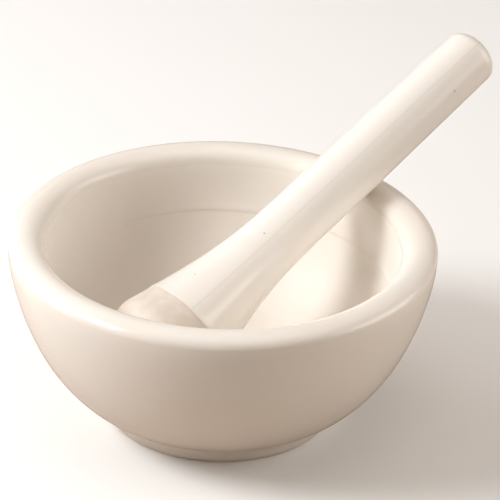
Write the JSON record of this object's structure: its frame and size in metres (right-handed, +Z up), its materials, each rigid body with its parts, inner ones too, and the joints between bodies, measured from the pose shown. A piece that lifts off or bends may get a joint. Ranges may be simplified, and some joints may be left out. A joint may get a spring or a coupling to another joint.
{
  "type": "mortar and pestle",
  "caption": "Round porcelain bowl with a rolled rim and a low foot, for grinding, and a club-shaped pestle with a domed grinding end that leans in it.",
  "frame": {"origin": "centre of the mortar's base, on the surface that it stands on", "axes": "+Z up along the mortar's axis; the pestle leans from the bowl's floor at -X -Y over the rim at +X +Y"},
  "size_m": [0.1479, 0.1375, 0.0987],
  "materials": {
    "mortar_porcelain": "warm white glazed porcelain, matt unglazed grinding surface and base",
    "pestle_porcelain": "warm white glazed porcelain handle, matt unglazed grinding end"
  },
  "bodies": {
    "mortar": {"mortar": "mortar_porcelain"},
    "pestle": {"pestle": "pestle_porcelain"}
  },
  "joints": [
    {"name": "pestle_lift", "type": "slide", "parent": "mortar", "child": "pestle", "axis": [0, 0, 1], "range_m": [0, 0.1]}
  ]
}
